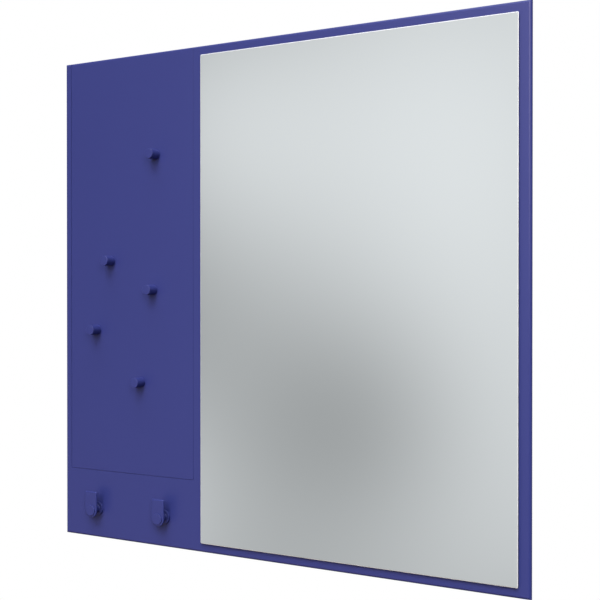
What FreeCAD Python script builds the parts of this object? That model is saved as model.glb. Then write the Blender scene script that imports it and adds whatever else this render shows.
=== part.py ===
import FreeCAD, Part
import os
import Sketcher

# A square lacquered wall panel with a flush steel notice board on the left and a mirror on the right.
# Frame: +X to the right, +Z up, the front faces -Y and the wall is the plane y = 0.
# The origin is the centre of the panel's back face. All sizes are millimetres.

SIZES = {
    # Panel
    "panel_width": 696,
    "panel_height": 696,
    "panel_thickness": 12,
    "front_edge_radius": 3.6,
    "edge_land": 0.4,
    # Notice board, a steel sheet let into the panel and folded back over its top edge
    "board_width": 216,
    "board_thickness": 1,
    "board_corner_radius": 2,
    "board_edge_radius": 0.3,
    "board_gap": 0.4,
    "board_side_margin": 11,
    "board_bottom_margin": 98.5,
    "adhesive_thickness": 0.2,
    "adhesive_inset": 4,
    # Mirror
    "board_mirror_gap": 15.2,
    "mirror_side_margin": 14.3,
    "mirror_margin": 13.8,
    "glass_thickness": 4,
    "glass_corner_radius": 1.5,
    "glass_arris": 0.5,
    "film_thickness": 0.2,
    "film_inset": 2,
    "tape_thickness": 0.8,
    "tape_width": 25,
    "tape_inset": 20,
    # Magnet knobs, placed from the middle of the notice board's flat
    "magnet_diameter": 14,
    "magnet_length": 18,
    "magnet_edge_radius": 0.7,
    "magnet_wall": 1.9,
    "core_thickness": 4,
    "core_recess": 0.2,
    "core_clearance": 0.1,
    "magnet_1_across": 45.3,
    "magnet_1_up": 156,
    "magnet_2_across": -33.7,
    "magnet_2_up": 7.6,
    "magnet_3_across": 41,
    "magnet_3_up": -34.4,
    "magnet_4_across": -59.2,
    "magnet_4_up": -92.2,
    "magnet_5_across": 19.6,
    "magnet_5_up": -165.4,
    # Hooks
    "hook_spacing": 118,
    "hook_rise": 42.5,
    "hook_base_diameter": 20,
    "hook_base_thickness": 2.5,
    "hook_base_edge_radius": 0.6,
    "hook_stem_diameter": 11,
    "hook_stem_length": 11,
    "hook_cove_radius": 1.5,
    "hook_tongue_width": 21,
    "hook_tongue_rise": 27,
    "hook_tongue_thickness": 3,
    "hook_tongue_corner": 2,
    "hook_edge_radius": 1.2,
    "cap_diameter": 15.2,
    "cap_proud": 1.5,
    "cap_sink": 1.5,
    "cap_edge_radius": 0.4,
    "cap_clearance": 0.1,
    "hook_screw_diameter": 4,
    "hook_screw_head_diameter": 8,
    "hook_screw_head_height": 2.5,
    "hook_screw_cover": 3,
    "head_clearance": 0.3,
    # Keyhole hangers in the back
    "hanger_side_margin": 108,
    "hanger_drop": 80,
    "hanger_plate_width": 60,
    "hanger_plate_height": 30,
    "hanger_plate_thickness": 2,
    "hanger_plate_corner": 3,
    "hanger_plate_gap": 0.2,
    "keyhole_entry_diameter": 10,
    "keyhole_slot_width": 5,
    "keyhole_slot_rise": 8,
    "head_pocket_gap": 0.6,
    "head_pocket_web": 3.8,
    "hanger_screw_margin": 8,
    "hanger_screw_diameter": 3.5,
    "hanger_screw_head_land": 0.35,
    "hanger_screw_cover": 2,
    # Running room round every screw, and past its tip
    "thread_clearance": 0.1,
    "tip_clearance": 0.5,
}

TAPE_STRIPS = 5
MAGNETS = 5
SIDES = {"left": -1, "right": 1}
TOLERANCE = 1e-6
FULL_TURN = 360
HALF_TURN = FreeCAD.Rotation(FreeCAD.Vector(0, 0, 1), 180)

# Formulas that several pieces share, in terms of the driving sizes.
# Places on the panel are measured from its lower left corner.
BOARD_RISE = "(Sizes.panel_height - Sizes.board_bottom_margin)"
BOARD_FLAT = f"({BOARD_RISE} - Sizes.front_edge_radius)"
BOARD_CENTRE_X = "(Sizes.board_side_margin + Sizes.board_width / 2)"
BOARD_CENTRE_Z = f"(Sizes.board_bottom_margin + {BOARD_FLAT} / 2)"
BOARD_LIP = "(Sizes.front_edge_radius + Sizes.edge_land - Sizes.board_thickness)"
BOARD_RECESS = "(Sizes.board_thickness + Sizes.adhesive_thickness)"
MIRROR_LEFT = "(Sizes.board_side_margin + Sizes.board_width + Sizes.board_mirror_gap)"
MIRROR_WIDTH = f"(Sizes.panel_width - {MIRROR_LEFT} - Sizes.mirror_side_margin)"
MIRROR_HEIGHT = "(Sizes.panel_height - 2 * Sizes.mirror_margin)"
MIRROR_STANDOFF = "(Sizes.tape_thickness + Sizes.film_thickness)"
CORE_BORE = "(Sizes.magnet_diameter - 2 * Sizes.magnet_wall)"
HOOK_TONGUE_BACK = "(Sizes.hook_base_thickness + Sizes.hook_stem_length)"
HOOK_LENGTH = f"({HOOK_TONGUE_BACK} + Sizes.hook_tongue_thickness)"
HOOK_CAP_SEAT = f"({HOOK_LENGTH} - Sizes.cap_sink)"
HOOK_SCREW_SEAT = f"({HOOK_CAP_SEAT} - Sizes.head_clearance - Sizes.hook_screw_head_height)"
HOOK_SCREW_BITE = "(Sizes.panel_thickness - Sizes.hook_screw_cover)"
HOOK_SCREW_HOLE = "(Sizes.hook_screw_diameter + 2 * Sizes.thread_clearance)"
KEYHOLE_SEAT_Z = "(Sizes.panel_height - Sizes.hanger_drop)"
KEYHOLE_ENTRY_Z = f"({KEYHOLE_SEAT_Z} - Sizes.keyhole_slot_rise)"
HANGER_CENTRE_Z = f"({KEYHOLE_SEAT_Z} - Sizes.keyhole_slot_rise / 2)"
HEAD_POCKET_WIDTH = "(Sizes.keyhole_entry_diameter + 2 * Sizes.head_pocket_gap)"
HEAD_POCKET_DEPTH = f"(Sizes.panel_thickness - {BOARD_RECESS} - Sizes.head_pocket_web)"
HANGER_SCREW_HOLE = "(Sizes.hanger_screw_diameter + 2 * Sizes.thread_clearance)"
HANGER_SCREW_SINK = "(Sizes.hanger_plate_thickness - Sizes.hanger_screw_head_land)"
HANGER_SCREW_LENGTH = f"(Sizes.panel_thickness - {BOARD_RECESS} - Sizes.hanger_screw_cover)"


def hanger_centre_x(side):
    """Formula for the middle of one keyhole plate, from the panel's left edge."""
    return f"(Sizes.panel_width / 2 + {side} * (Sizes.panel_width / 2 - Sizes.hanger_side_margin))"


def hanger_screw_x(centre, step):
    """Formula for one of the two screws beside a keyhole plate's middle."""
    return f"{centre} + {step} * (Sizes.hanger_plate_width / 2 - Sizes.hanger_screw_margin)"


def hook_centre_x(side):
    """Formula for the middle of one hook, from the panel's left edge."""
    return f"({BOARD_CENTRE_X} + {side} * Sizes.hook_spacing / 2)"


def add_sizes(doc):
    """Put the driving sizes into a spreadsheet, one named cell each."""
    sheet = doc.addObject("Spreadsheet::Sheet", "Sizes")
    for row, (name, size) in enumerate(SIZES.items(), start=1):
        sheet.set(f"A{row}", name)
        sheet.set(f"B{row}", str(size))
        sheet.setAlias(f"B{row}", name)
    doc.recompute()


def new_body(doc, label, x="0", y="0", z="0", turned=False):
    """Start a piece whose own origin lies at a place on the panel, turned to face out if asked."""
    body = doc.addObject("PartDesign::Body", label)
    body.Label = label
    if turned:
        body.Placement = FreeCAD.Placement(FreeCAD.Vector(), HALF_TURN)
    body.setExpression("Placement.Base.x", f"{x} - Sizes.panel_width / 2")
    body.setExpression("Placement.Base.y", y)
    body.setExpression("Placement.Base.z", f"{z} - Sizes.panel_height / 2")
    return body


def new_sketch(body, name, plane="XZ_Plane", height=None):
    """Attach a sketch to one of the piece's own planes, raised along the plane's normal if asked."""
    sketch = body.newObject("Sketcher::SketchObject", name)
    support = next(item for item in body.Origin.OriginFeatures if item.Role == plane)
    sketch.AttachmentSupport = [(support, "")]
    sketch.MapMode = "FlatFace"
    if height is not None:
        sketch.setExpression("AttachmentOffset.Base.z", height)
    return sketch


def bind(sketch, name, formula, *where):
    """Add one dimension to a sketch and tie it to a formula."""
    kind, *elements = where
    index = sketch.addConstraint(Sketcher.Constraint(kind, *elements, number(sketch, formula)))
    sketch.renameConstraint(index, name)
    sketch.setExpression(f"Constraints.{name}", formula)


def number(holder, formula):
    """Work out a formula with the sizes as they are now."""
    return float(holder.evalExpression(formula))


def place_point(sketch, name, geometry, point, x, y):
    """Dimension one point of a sketch from its origin; None keeps it on that axis."""
    if x is None:
        sketch.addConstraint(Sketcher.Constraint("PointOnObject", geometry, point, -2))
    else:
        bind(sketch, f"{name}_x", x, "DistanceX", -1, 1, geometry, point)
    if y is None:
        sketch.addConstraint(Sketcher.Constraint("PointOnObject", geometry, point, -1))
    else:
        bind(sketch, f"{name}_y", y, "DistanceY", -1, 1, geometry, point)


def draw_outline(sketch, points):
    """Draw a closed outline of straight lines through points given as pairs of formulas."""
    spots = [
        FreeCAD.Vector(number(sketch, x or "0"), number(sketch, y or "0"), 0)
        for x, y in points
    ]
    lines = []
    for start, end in zip(spots, spots[1:] + spots[:1]):
        lines.append(sketch.addGeometry(Part.LineSegment(start, end)))
    for line, following in zip(lines, lines[1:] + lines[:1]):
        sketch.addConstraint(Sketcher.Constraint("Coincident", line, 2, following, 1))
    for line, (x, y) in zip(lines, points):
        place_point(sketch, f"corner_{line}", line, 1, x, y)


def draw_rectangle(sketch, left, low, width, height):
    """Draw an upright rectangle from its lower left corner."""
    right = f"{left} + {width}"
    high = f"{low} + {height}"
    draw_outline(sketch, [(left, low), (right, low), (right, high), (left, high)])


def draw_circle(sketch, x, y, diameter):
    """Draw one circle from its middle and its diameter."""
    centre = FreeCAD.Vector(number(sketch, x or "0"), number(sketch, y or "0"), 0)
    radius = number(sketch, diameter) / 2
    circle = sketch.addGeometry(Part.Circle(centre, FreeCAD.Vector(0, 0, 1), radius))
    place_point(sketch, f"centre_{circle}", circle, 3, x, y)
    bind(sketch, f"diameter_{circle}", diameter, "Diameter", circle)


def draw_upright_slot(sketch, x, low, high, width):
    """Draw a slot with round ends, from the middle of its lower end to the middle of its upper one."""
    middle = number(sketch, x or "0")
    radius = number(sketch, width) / 2
    bottom = FreeCAD.Vector(middle, number(sketch, low or "0"), 0)
    top = FreeCAD.Vector(middle, number(sketch, high), 0)
    side = FreeCAD.Vector(radius, 0, 0)
    drop = FreeCAD.Vector(0, radius, 0)
    right = sketch.addGeometry(Part.LineSegment(bottom + side, top + side))
    upper = sketch.addGeometry(Part.Arc(top + side, top + drop, top - side))
    left = sketch.addGeometry(Part.LineSegment(top - side, bottom - side))
    lower = sketch.addGeometry(Part.Arc(bottom - side, bottom - drop, bottom + side))
    for line, line_end, arc, arc_end in (
        (right, 2, upper, 1),
        (left, 1, upper, 2),
        (left, 2, lower, 1),
        (right, 1, lower, 2),
    ):
        sketch.addConstraint(Sketcher.Constraint("Tangent", line, line_end, arc, arc_end))
    place_point(sketch, f"low_{lower}", lower, 3, x, low)
    place_point(sketch, f"high_{upper}", upper, 3, x, high)
    bind(sketch, f"radius_{upper}", f"{width} / 2", "Radius", upper)


def draw_tongue(sketch, width, rise):
    """Draw an upright tongue: a round lower end about the origin, straight sides and a flat top."""
    radius = number(sketch, width) / 2
    side = FreeCAD.Vector(radius, 0, 0)
    drop = FreeCAD.Vector(0, radius, 0)
    top = FreeCAD.Vector(0, number(sketch, rise), 0)
    right = sketch.addGeometry(Part.LineSegment(side, top + side))
    upper = sketch.addGeometry(Part.LineSegment(top + side, top - side))
    left = sketch.addGeometry(Part.LineSegment(top - side, -side))
    lower = sketch.addGeometry(Part.Arc(-side, -drop, side))
    sketch.addConstraint(Sketcher.Constraint("Coincident", right, 2, upper, 1))
    sketch.addConstraint(Sketcher.Constraint("Coincident", upper, 2, left, 1))
    sketch.addConstraint(Sketcher.Constraint("Tangent", left, 2, lower, 1))
    sketch.addConstraint(Sketcher.Constraint("Tangent", right, 1, lower, 2))
    sketch.addConstraint(Sketcher.Constraint("Horizontal", upper))
    sketch.addConstraint(Sketcher.Constraint("Vertical", right))
    sketch.addConstraint(Sketcher.Constraint("Vertical", left))
    place_point(sketch, "lower", lower, 3, None, None)
    bind(sketch, "lower_radius", f"{width} / 2", "Radius", lower)
    bind(sketch, "rise", rise, "DistanceY", -1, 1, right, 2)


def add_pad(body, sketch, length, along_normal=True):
    """Raise a sketch into a solid, along its plane's normal or against it."""
    pad = body.newObject("PartDesign::Pad", f"{sketch.Name}_Pad")
    pad.Profile = sketch
    pad.setExpression("Length", length)
    pad.Reversed = not along_normal
    body.Document.recompute()
    return pad


def add_pocket(body, sketch, depth, along_normal):
    """Cut a sketch into the piece, and make sure that something was cut."""
    before = body.Shape.Volume
    pocket = body.newObject("PartDesign::Pocket", f"{sketch.Name}_Pocket")
    pocket.Profile = sketch
    pocket.setExpression("Length", depth)
    pocket.Reversed = along_normal
    body.Document.recompute()
    if body.Shape.Volume >= before:
        raise RuntimeError(f"{pocket.Name} cuts nothing")
    return pocket


def add_revolution(body, sketch):
    """Turn a sketch once round its own upright axis."""
    turned = body.newObject("PartDesign::Revolution", f"{sketch.Name}_Turned")
    turned.Profile = sketch
    turned.ReferenceAxis = (sketch, ["V_Axis"])
    turned.Angle = FULL_TURN
    body.Document.recompute()
    return turned


def ease_edges(body, base, kind, chosen, measure, size):
    """Round or bevel the edges of a feature for which chosen(edge) is true."""
    names = [f"Edge{i}" for i, edge in enumerate(base.Shape.Edges, start=1) if chosen(edge)]
    if not names:
        raise RuntimeError(f"{base.Name} has no edge to ease")
    eased = body.newObject(f"PartDesign::{kind}", f"{base.Name}_{kind}")
    eased.Base = (base, names)
    eased.setExpression(measure, size)
    body.Document.recompute()
    return eased


def lies_at_depth(edge, depth):
    """True for an edge that lies wholly in the piece's own plane y = depth."""
    box = edge.BoundBox
    return abs(box.YMin - depth) < TOLERANCE and abs(box.YMax - depth) < TOLERANCE


def runs_between(edge, front, back):
    """True for a straight edge square to the piece's face, from one depth to another."""
    box = edge.BoundBox
    square = box.XLength < TOLERANCE and box.ZLength < TOLERANCE
    return square and abs(box.YMin - front) < TOLERANCE and abs(box.YMax - back) < TOLERANCE


def runs_across(edge, depth, height):
    """True for a level edge across the piece, at one depth and one height."""
    box = edge.BoundBox
    level = box.YLength < TOLERANCE and box.ZLength < TOLERANCE
    return level and abs(box.YMin - depth) < TOLERANCE and abs(box.ZMin - height) < TOLERANCE


def has_radius(edge, radius):
    """True for a round edge of one radius."""
    return isinstance(edge.Curve, Part.Circle) and abs(edge.Curve.Radius - radius) < TOLERANCE


def make_sheet(doc, label, left, low, width, height, standoff, thickness, corner=None):
    """A flat upright sheet: its back stands at a distance from the wall, and it grows to the front."""
    body = new_body(doc, label, x=left, y=f"-{standoff}", z=low)
    sketch = new_sketch(body, f"{label}_outline")
    draw_outline(sketch, [(None, None), (width, None), (width, height), (None, height)])
    sheet = add_pad(body, sketch, thickness)
    if corner is not None:
        front = -number(body, thickness)
        sheet = ease_edges(body, sheet, "Fillet", lambda e: runs_between(e, front, 0), "Radius", corner)
    return body, sheet


def make_panel(doc):
    """The lacquered board, with its rounded front edges and everything that is let into it."""
    thickness = number(doc.Sizes, "Sizes.panel_thickness")
    body, board = make_sheet(
        doc, "panel", "0", "0", "Sizes.panel_width", "Sizes.panel_height", "0", "Sizes.panel_thickness"
    )
    rounded = ease_edges(
        body, board, "Fillet", lambda e: lies_at_depth(e, -thickness), "Radius", "Sizes.front_edge_radius"
    )
    # Behind its rounded front the edge falls away at 45 degrees, so that the panel looks thin on the wall.
    bevel = "Sizes.panel_thickness - Sizes.front_edge_radius - Sizes.edge_land"
    ease_edges(body, rounded, "Chamfer", lambda e: lies_at_depth(e, 0), "Size", bevel)
    cut_board_recess(body)
    cut_hook_holes(body)
    cut_hanger_pockets(body)
    return body


def cut_board_recess(body):
    """The bed of the notice board, which runs out over the panel's top edge, with a hairline gap round it."""
    start = "Sizes.board_side_margin - Sizes.board_gap"
    sketch = new_sketch(body, "board_recess", plane="YZ_Plane", height=start)
    front = "-Sizes.panel_thickness"
    floor = f"({BOARD_RECESS} - Sizes.panel_thickness)"
    low = "Sizes.board_bottom_margin - Sizes.board_gap"
    ledge = f"(Sizes.panel_height - {BOARD_RECESS})"
    draw_outline(
        sketch,
        [
            (front, low),
            (floor, low),
            (floor, ledge),
            (None, ledge),
            (None, "Sizes.panel_height"),
            (front, "Sizes.panel_height"),
        ],
    )
    recess = add_pocket(body, sketch, "Sizes.board_width + 2 * Sizes.board_gap", along_normal=True)
    front_depth, floor_depth, ledge_height = (number(body, place) for place in (front, floor, ledge))
    bend = f"Sizes.front_edge_radius - {BOARD_RECESS}"
    bent = ease_edges(
        body, recess, "Fillet", lambda e: runs_across(e, floor_depth, ledge_height), "Radius", bend
    )
    corner = "Sizes.board_corner_radius + Sizes.board_gap"
    ease_edges(body, bent, "Fillet", lambda e: runs_between(e, front_depth, floor_depth), "Radius", corner)


def cut_hook_holes(body):
    """The holes for the hooks' screws, from the front."""
    sketch = new_sketch(body, "hook_holes", height="Sizes.panel_thickness")
    for side in SIDES.values():
        draw_circle(sketch, hook_centre_x(side), "Sizes.hook_rise", HOOK_SCREW_HOLE)
    add_pocket(body, sketch, f"{HOOK_SCREW_BITE} + Sizes.tip_clearance", along_normal=False)


def cut_hanger_pockets(body):
    """From the back: the beds of the keyhole plates, the room behind the keyholes and the screw holes."""
    beds = new_sketch(body, "hanger_beds")
    rooms = new_sketch(body, "head_rooms")
    holes = new_sketch(body, "hanger_holes")
    for side in SIDES.values():
        centre = hanger_centre_x(side)
        draw_rectangle(
            beds,
            f"{centre} - Sizes.hanger_plate_width / 2 - Sizes.hanger_plate_gap",
            f"{HANGER_CENTRE_Z} - Sizes.hanger_plate_height / 2 - Sizes.hanger_plate_gap",
            "(Sizes.hanger_plate_width + 2 * Sizes.hanger_plate_gap)",
            "(Sizes.hanger_plate_height + 2 * Sizes.hanger_plate_gap)",
        )
        draw_upright_slot(rooms, centre, KEYHOLE_ENTRY_Z, KEYHOLE_SEAT_Z, HEAD_POCKET_WIDTH)
        for step in SIDES.values():
            draw_circle(holes, hanger_screw_x(centre, step), HANGER_CENTRE_Z, HANGER_SCREW_HOLE)
    sunk = add_pocket(body, beds, "Sizes.hanger_plate_thickness", along_normal=True)
    floor = -number(body, "Sizes.hanger_plate_thickness")
    corner = "Sizes.hanger_plate_corner + Sizes.hanger_plate_gap"
    ease_edges(body, sunk, "Fillet", lambda e: runs_between(e, floor, 0), "Radius", corner)
    add_pocket(body, rooms, HEAD_POCKET_DEPTH, along_normal=True)
    add_pocket(body, holes, f"{HANGER_SCREW_LENGTH} + Sizes.tip_clearance", along_normal=True)


def make_notice_board(doc):
    """The steel sheet, flush with the panel, and the adhesive sheet that it lies on."""
    adhesive, _ = make_sheet(
        doc,
        "notice_board_adhesive",
        "Sizes.board_side_margin + Sizes.adhesive_inset",
        "Sizes.board_bottom_margin + Sizes.adhesive_inset",
        "Sizes.board_width - 2 * Sizes.adhesive_inset",
        f"{BOARD_FLAT} - 2 * Sizes.adhesive_inset",
        f"(Sizes.panel_thickness - {BOARD_RECESS})",
        "Sizes.adhesive_thickness",
    )
    return [fold_notice_board(doc), adhesive]


def fold_notice_board(doc):
    """The steel sheet itself, with a lip that is bent back over the panel's rounded top edge."""
    back = "Sizes.board_thickness - Sizes.panel_thickness"
    board = new_body(doc, "notice_board", "Sizes.board_side_margin", back, "Sizes.board_bottom_margin")
    profile = new_sketch(board, "notice_board_profile", plane="YZ_Plane")
    front = "-Sizes.board_thickness"
    under = f"({BOARD_RISE} - Sizes.board_thickness)"
    draw_outline(
        profile,
        [
            (None, None),
            (front, None),
            (front, BOARD_RISE),
            (BOARD_LIP, BOARD_RISE),
            (f"{BOARD_LIP} + Sizes.board_thickness", under),
            (None, under),
        ],
    )
    sheet = add_pad(board, profile, "Sizes.board_width")
    depth, top, inner_top, flat = (number(board, place) for place in (front, BOARD_RISE, under, BOARD_FLAT))
    outer = "Sizes.front_edge_radius"
    inner = "Sizes.front_edge_radius - Sizes.board_thickness"
    bent = ease_edges(board, sheet, "Fillet", lambda e: runs_across(e, depth, top), "Radius", outer)
    folded = ease_edges(board, bent, "Fillet", lambda e: runs_across(e, 0, inner_top), "Radius", inner)
    cornered = ease_edges(
        board, folded, "Fillet", lambda e: runs_between(e, depth, 0), "Radius", "Sizes.board_corner_radius"
    )
    ease_edges(
        board,
        cornered,
        "Fillet",
        lambda e: lies_at_depth(e, depth) and not runs_across(e, depth, flat),
        "Radius",
        "Sizes.board_edge_radius",
    )
    return board


def make_mirror(doc):
    """The glass with its ground edges, the film on its back and the strips of tape that hold it."""
    glass, slab = make_sheet(
        doc,
        "mirror_glass",
        MIRROR_LEFT,
        "Sizes.mirror_margin",
        MIRROR_WIDTH,
        MIRROR_HEIGHT,
        f"(Sizes.panel_thickness + {MIRROR_STANDOFF})",
        "Sizes.glass_thickness",
        corner="Sizes.glass_corner_radius",
    )
    front = -number(glass, "Sizes.glass_thickness")
    ease_edges(
        glass,
        slab,
        "Chamfer",
        lambda e: lies_at_depth(e, 0) or lies_at_depth(e, front),
        "Size",
        "Sizes.glass_arris",
    )
    film, _ = make_sheet(
        doc,
        "mirror_safety_film",
        f"{MIRROR_LEFT} + Sizes.film_inset",
        "Sizes.mirror_margin + Sizes.film_inset",
        f"{MIRROR_WIDTH} - 2 * Sizes.film_inset",
        f"{MIRROR_HEIGHT} - 2 * Sizes.film_inset",
        "(Sizes.panel_thickness + Sizes.tape_thickness)",
        "Sizes.film_thickness",
    )
    strips = [make_tape_strip(doc, place) for place in range(TAPE_STRIPS)]
    return [glass, film, make_group(doc, "mirror_tape_strips", strips)]


def make_tape_strip(doc, place):
    """One upright strip of tape; the strips share the mirror's width evenly."""
    strip = doc.addObject("Part::Box", f"tape_strip_{place + 1}")
    middle = f"{MIRROR_LEFT} + {MIRROR_WIDTH} * {2 * place + 1} / {2 * TAPE_STRIPS}"
    strip.setExpression("Length", "Sizes.tape_width")
    strip.setExpression("Width", "Sizes.tape_thickness")
    strip.setExpression("Height", f"{MIRROR_HEIGHT} - 2 * Sizes.tape_inset")
    strip.setExpression("Placement.Base.x", f"{middle} - Sizes.tape_width / 2 - Sizes.panel_width / 2")
    strip.setExpression("Placement.Base.y", "-Sizes.panel_thickness - Sizes.tape_thickness")
    strip.setExpression("Placement.Base.z", f"-{MIRROR_HEIGHT} / 2 + Sizes.tape_inset")
    return strip


def make_group(doc, label, members):
    """Several separate solids that share one node."""
    group = doc.addObject("Part::Compound", label)
    group.Label = label
    group.Links = members
    return group


def make_magnet(doc, count):
    """One knob and the magnet in its foot, standing on the notice board."""
    across = f"{BOARD_CENTRE_X} + Sizes.magnet_{count}_across"
    up = f"{BOARD_CENTRE_Z} + Sizes.magnet_{count}_up"
    front = "-Sizes.panel_thickness"
    outer = "Sizes.magnet_diameter / 2"
    bore = f"{CORE_BORE} / 2"
    bore_depth = "Sizes.core_thickness + Sizes.core_recess"
    knob = new_body(doc, f"magnet_{count}_knob", across, front, up, turned=True)
    profile = new_sketch(knob, f"magnet_{count}_profile", plane="XY_Plane")
    draw_outline(
        profile,
        [
            (bore, None),
            (outer, None),
            (outer, "Sizes.magnet_length"),
            (None, "Sizes.magnet_length"),
            (None, bore_depth),
            (bore, bore_depth),
        ],
    )
    turned = add_revolution(knob, profile)
    length = number(knob, "Sizes.magnet_length")
    ease_edges(
        knob, turned, "Fillet", lambda e: lies_at_depth(e, length), "Radius", "Sizes.magnet_edge_radius"
    )
    core = new_body(doc, f"magnet_{count}_core", across, f"{front} - Sizes.core_recess", up, turned=True)
    face = new_sketch(core, f"magnet_{count}_core_face")
    draw_circle(face, None, None, f"{CORE_BORE} - 2 * Sizes.core_clearance")
    add_pad(core, face, "Sizes.core_thickness", along_normal=False)
    return [knob, core]


def make_hook(doc, name, side):
    """One hook of a round foot, a stem and a tongue, the cap in its front and the screw that holds it."""
    place = (hook_centre_x(side), "-Sizes.panel_thickness", "Sizes.hook_rise")
    hook = new_body(doc, f"hook_{name}", *place, turned=True)
    foot = "Sizes.hook_base_diameter / 2"
    stem = "Sizes.hook_stem_diameter / 2"
    profile = new_sketch(hook, f"hook_{name}_profile", plane="XY_Plane")
    draw_outline(
        profile,
        [
            (None, None),
            (foot, None),
            (foot, "Sizes.hook_base_thickness"),
            (stem, "Sizes.hook_base_thickness"),
            (stem, HOOK_TONGUE_BACK),
            (None, HOOK_TONGUE_BACK),
        ],
    )
    add_revolution(hook, profile)
    tongue = raise_hook_tongue(hook, name)
    foot_radius = number(hook, foot)
    stem_radius = number(hook, stem)
    foot_front = number(hook, "Sizes.hook_base_thickness")
    rims = [number(hook, depth) for depth in (HOOK_TONGUE_BACK, HOOK_LENGTH)]
    rounded = ease_edges(
        hook,
        tongue,
        "Fillet",
        lambda e: any(lies_at_depth(e, rim) for rim in rims) and not has_radius(e, stem_radius),
        "Radius",
        "Sizes.hook_edge_radius",
    )
    eased = ease_edges(
        hook,
        rounded,
        "Fillet",
        lambda e: has_radius(e, foot_radius) and lies_at_depth(e, foot_front),
        "Radius",
        "Sizes.hook_base_edge_radius",
    )
    ease_edges(
        hook, eased, "Fillet", lambda e: has_radius(e, stem_radius), "Radius", "Sizes.hook_cove_radius"
    )
    bore_hook(hook, name)
    return [hook, make_hook_cap(doc, name, place)], make_hook_screw(doc, name, place)


def raise_hook_tongue(hook, name):
    """The tongue in front of the stem, with its two upper corners rounded."""
    outline = new_sketch(hook, f"hook_{name}_tongue", height=f"-{HOOK_TONGUE_BACK}")
    draw_tongue(outline, "Sizes.hook_tongue_width", "Sizes.hook_tongue_rise")
    tongue = add_pad(hook, outline, "Sizes.hook_tongue_thickness", along_normal=False)
    back = number(hook, HOOK_TONGUE_BACK)
    front = number(hook, HOOK_LENGTH)
    return ease_edges(
        hook,
        tongue,
        "Fillet",
        lambda e: runs_between(e, back, front) and e.BoundBox.ZMin > TOLERANCE,
        "Radius",
        "Sizes.hook_tongue_corner",
    )


def bore_hook(hook, name):
    """From the front: the bed of the cap, the well of the screw's head and the screw's hole."""
    cap_bed = "Sizes.cap_diameter + 2 * Sizes.cap_clearance"
    head_well = "Sizes.hook_screw_head_diameter + 2 * Sizes.head_clearance"
    for label, start, end, diameter in (
        ("cap_bed", HOOK_LENGTH, HOOK_CAP_SEAT, cap_bed),
        ("head_well", HOOK_CAP_SEAT, HOOK_SCREW_SEAT, head_well),
        ("screw_hole", HOOK_SCREW_SEAT, "0", HOOK_SCREW_HOLE),
    ):
        sketch = new_sketch(hook, f"hook_{name}_{label}", height=f"-{start}")
        draw_circle(sketch, None, None, diameter)
        add_pocket(hook, sketch, f"{start} - {end}", along_normal=True)


def make_hook_cap(doc, name, place):
    """The round cap that covers the screw and stands a little proud of the hook's tongue."""
    cap = new_body(doc, f"hook_{name}_cap", *place, turned=True)
    face = new_sketch(cap, f"hook_{name}_cap_profile", plane="XY_Plane")
    rim = "Sizes.cap_diameter / 2"
    top = f"{HOOK_LENGTH} + Sizes.cap_proud"
    draw_outline(face, [(None, HOOK_CAP_SEAT), (rim, HOOK_CAP_SEAT), (rim, top), (None, top)])
    turned = add_revolution(cap, face)
    height = number(cap, top)
    ease_edges(cap, turned, "Fillet", lambda e: lies_at_depth(e, height), "Radius", "Sizes.cap_edge_radius")
    return cap


def make_hook_screw(doc, name, place):
    """A pan-head screw that seats in the hook's stem and bites into the panel."""
    screw = new_body(doc, f"hook_{name}_screw", *place, turned=True)
    profile = new_sketch(screw, f"hook_{name}_screw_profile", plane="XY_Plane")
    shank = "Sizes.hook_screw_diameter / 2"
    head = "Sizes.hook_screw_head_diameter / 2"
    head_top = f"{HOOK_SCREW_SEAT} + Sizes.hook_screw_head_height"
    tip = f"-{HOOK_SCREW_BITE}"
    draw_outline(
        profile,
        [
            (None, tip),
            (shank, f"{tip} + {shank}"),
            (shank, HOOK_SCREW_SEAT),
            (head, HOOK_SCREW_SEAT),
            (head, head_top),
            (None, head_top),
        ],
    )
    add_revolution(screw, profile)
    return screw


def make_hanger(doc, name, side):
    """One keyhole plate, flush with the panel's back, and the two screws that hold it."""
    centre = hanger_centre_x(side)
    left = f"{centre} - Sizes.hanger_plate_width / 2"
    low = f"{HANGER_CENTRE_Z} - Sizes.hanger_plate_height / 2"
    plate, _ = make_sheet(
        doc,
        f"hanger_plate_{name}",
        left,
        low,
        "Sizes.hanger_plate_width",
        "Sizes.hanger_plate_height",
        "0",
        "Sizes.hanger_plate_thickness",
        corner="Sizes.hanger_plate_corner",
    )
    middle_x = "Sizes.hanger_plate_width / 2"
    middle_z = "Sizes.hanger_plate_height / 2"
    entry_z = f"{middle_z} - Sizes.keyhole_slot_rise / 2"
    seat_z = f"{middle_z} + Sizes.keyhole_slot_rise / 2"
    entry = new_sketch(plate, f"keyhole_entry_{name}")
    draw_circle(entry, middle_x, entry_z, "Sizes.keyhole_entry_diameter")
    add_pocket(plate, entry, "Sizes.hanger_plate_thickness", along_normal=True)
    slot = new_sketch(plate, f"keyhole_slot_{name}")
    draw_upright_slot(slot, middle_x, entry_z, seat_z, "Sizes.keyhole_slot_width")
    add_pocket(plate, slot, "Sizes.hanger_plate_thickness", along_normal=True)
    holes = new_sketch(plate, f"plate_holes_{name}")
    for step in SIDES.values():
        draw_circle(holes, hanger_screw_x(middle_x, step), middle_z, HANGER_SCREW_HOLE)
    drilled = add_pocket(plate, holes, "Sizes.hanger_plate_thickness", along_normal=True)
    hole_radius = number(plate, HANGER_SCREW_HOLE) / 2
    ease_edges(
        plate,
        drilled,
        "Chamfer",
        lambda e: has_radius(e, hole_radius) and lies_at_depth(e, 0),
        "Size",
        HANGER_SCREW_SINK,
    )
    screws = [
        make_hanger_screw(doc, f"hanger_{name}_screw_{edge}", hanger_screw_x(centre, step))
        for edge, step in SIDES.items()
    ]
    return plate, screws


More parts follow.
